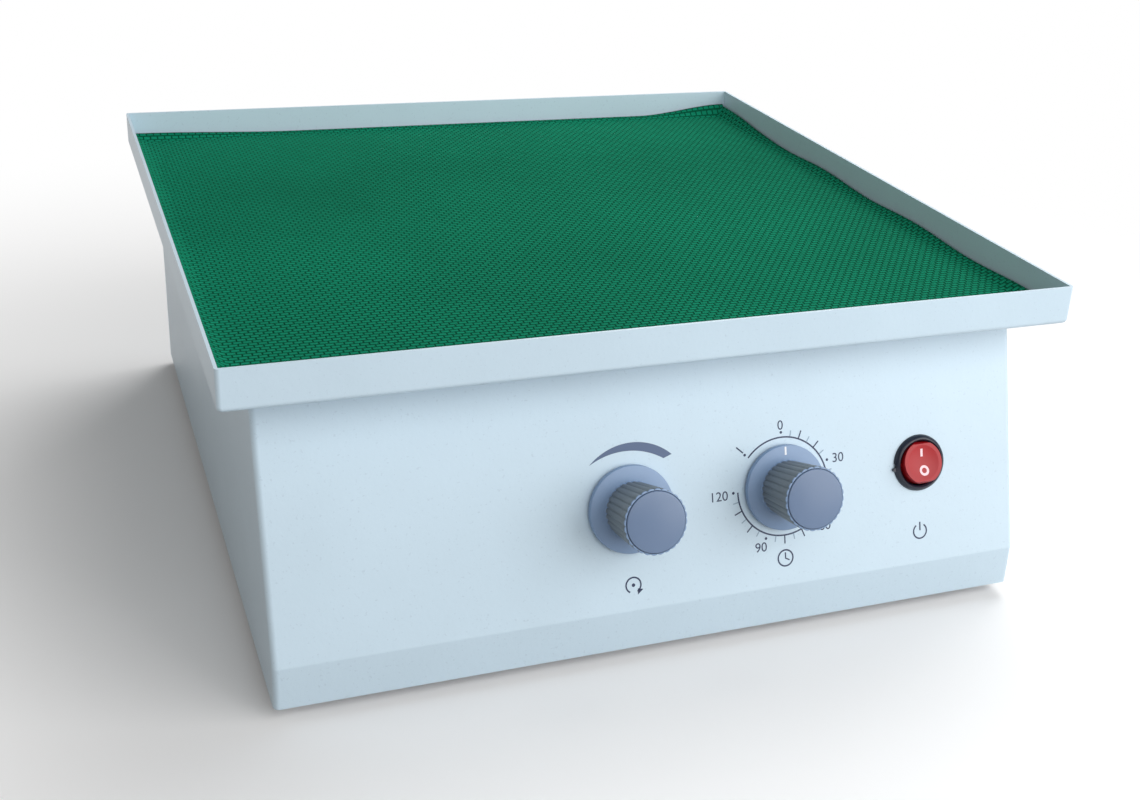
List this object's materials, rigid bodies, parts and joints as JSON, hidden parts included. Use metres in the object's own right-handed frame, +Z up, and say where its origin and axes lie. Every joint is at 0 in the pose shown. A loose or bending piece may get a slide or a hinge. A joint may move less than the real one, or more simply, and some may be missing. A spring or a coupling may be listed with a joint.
{
  "type": "orbital shaker",
  "caption": "Bench orbital shaker: folded steel housing with a leaning control panel, two rotary knobs and a rocker switch, under a shallow tray that circles on a belt-driven crank.",
  "frame": {"origin": "on the bench, under the middle of the whole outline from the knobs to the fuse cap", "axes": "+Z up, -Y out of the front panel, +X to the right when facing the panel"},
  "size_m": [0.33, 0.3528, 0.1342],
  "materials": {
    "housing_paint": "pale blue powder coat",
    "tray_paint": "pale blue powder coat",
    "grip_mat": "green open-textured grip mat",
    "foot_rubber": "black rubber",
    "belt_rubber": "black ribbed belt",
    "zinc_steel": "zinc-plated steel",
    "machined_steel": "turned and ground steel",
    "aluminium": "machined aluminium",
    "motor_paint": "black enamel",
    "core_steel": "varnished laminations",
    "coil_tape": "yellow winding tape",
    "board_green": "green solder mask",
    "brass_contacts": "bright brass",
    "capacitor_sleeve": "shrink sleeve",
    "terminal_plastic": "green terminal block",
    "control_plastic": "moulded phenolic",
    "knob_plastic": "blue-grey moulding",
    "knob_cap_plastic": "blue-grey domed cap",
    "black_plastic": "black moulding",
    "rocker_red": "clear red lens moulding"
  },
  "bodies": {
    "base": {"housing_shell": "housing_paint", "base_plate": "zinc_steel", "base_screws": "zinc_steel", "rubber_feet": "foot_rubber", "foot_screws": "zinc_steel", "foot_nuts": "zinc_steel", "support_columns": "zinc_steel", "column_screws": "zinc_steel", "drive_plate": "aluminium", "crank_bearing_housing": "aluminium", "crank_bearings": "machined_steel", "crank_housing_screws": "zinc_steel", "motor_body": "motor_paint", "motor_screws": "zinc_steel", "drive_belt": "belt_rubber", "idler_towers": "aluminium", "idler_bearings": "machined_steel", "tower_screws": "zinc_steel", "speed_pot": "control_plastic", "speed_pot_nut": "zinc_steel", "timer_body": "control_plastic", "timer_nut": "zinc_steel", "switch_body": "black_plastic", "switch_terminals": "brass_contacts", "control_board": "board_green", "board_standoffs": "brass_contacts", "board_heat_sink": "aluminium", "board_capacitors": "capacitor_sleeve", "board_terminals": "terminal_plastic", "transformer_core": "core_steel", "transformer_coil": "coil_tape", "power_inlet": "black_plastic", "inlet_pins": "brass_contacts", "inlet_screws": "zinc_steel", "fuse_holder": "black_plastic", "fuse_cap": "black_plastic"},
    "crank": {"crank_shaft": "machined_steel", "crank_clip": "zinc_steel", "counterweight": "machined_steel", "driven_pulley": "aluminium"},
    "platform": {"carrier_plate": "aluminium", "pin_bearing": "machined_steel", "arm_bearings": "machined_steel", "tray": "tray_paint", "tray_screws": "zinc_steel", "mat": "grip_mat"},
    "motor_rotor": {"motor_shaft": "machined_steel", "motor_pulley": "aluminium"},
    "speed_control": {"speed_spindle": "machined_steel", "speed_knob": "knob_plastic", "speed_knob_cap": "knob_cap_plastic"},
    "timer_control": {"timer_spindle": "machined_steel", "timer_knob": "knob_plastic", "timer_knob_cap": "knob_cap_plastic"},
    "rocker": {"switch_rocker": "rocker_red"},
    "idler_1": {"idler_crank_1": "machined_steel"},
    "idler_2": {"idler_crank_2": "machined_steel"},
    "idler_3": {"idler_crank_3": "machined_steel"},
    "idler_4": {"idler_crank_4": "machined_steel"}
  },
  "joints": [
    {"name": "crank_spin", "type": "hinge", "parent": "base", "child": "crank", "pos_m": [0, 0.01785, 0.1115], "axis": [0, 0, 1], "continuous": true},
    {"name": "platform_orbit", "type": "hinge", "parent": "crank", "child": "platform", "pos_m": [0, 0.01035, 0.1115], "axis": [0, 0, 1], "continuous": true},
    {"name": "idler_1_spin", "type": "hinge", "parent": "base", "child": "idler_1", "pos_m": [-0.11, -0.07715, 0.1115], "axis": [0, 0, 1], "continuous": true},
    {"name": "idler_2_spin", "type": "hinge", "parent": "base", "child": "idler_2", "pos_m": [0.11, -0.07715, 0.1115], "axis": [0, 0, 1], "continuous": true},
    {"name": "idler_3_spin", "type": "hinge", "parent": "base", "child": "idler_3", "pos_m": [-0.11, 0.11285, 0.1115], "axis": [0, 0, 1], "continuous": true},
    {"name": "idler_4_spin", "type": "hinge", "parent": "base", "child": "idler_4", "pos_m": [0.11, 0.11285, 0.1115], "axis": [0, 0, 1], "continuous": true},
    {"name": "motor_spin", "type": "hinge", "parent": "base", "child": "motor_rotor", "pos_m": [0, 0.12188, 0.06], "axis": [0, 0, 1], "continuous": true},
    {"name": "speed_turn", "type": "hinge", "parent": "base", "child": "speed_control", "pos_m": [-0.0174, -0.14774, 0.05997], "axis": [0, -0.9563, 0.2924], "range_deg": [-135, 135]},
    {"name": "timer_turn", "type": "hinge", "parent": "base", "child": "timer_control", "pos_m": [0.0468, -0.14774, 0.05997], "axis": [0, -0.9563, 0.2924], "range_deg": [-270, 48]},
    {"name": "switch_rock", "type": "hinge", "parent": "base", "child": "rocker", "pos_m": [0.108, -0.14719, 0.06179], "axis": [1, 0, 0], "range_deg": [0, 20]}
  ],
  "couplings": [
    {"joint": "platform_orbit", "follows": "crank_spin", "ratio": -1},
    {"joint": "idler_1_spin", "follows": "crank_spin", "ratio": 1},
    {"joint": "idler_2_spin", "follows": "crank_spin", "ratio": 1},
    {"joint": "idler_3_spin", "follows": "crank_spin", "ratio": 1},
    {"joint": "idler_4_spin", "follows": "crank_spin", "ratio": 1},
    {"joint": "motor_spin", "follows": "crank_spin", "ratio": 4}
  ]
}
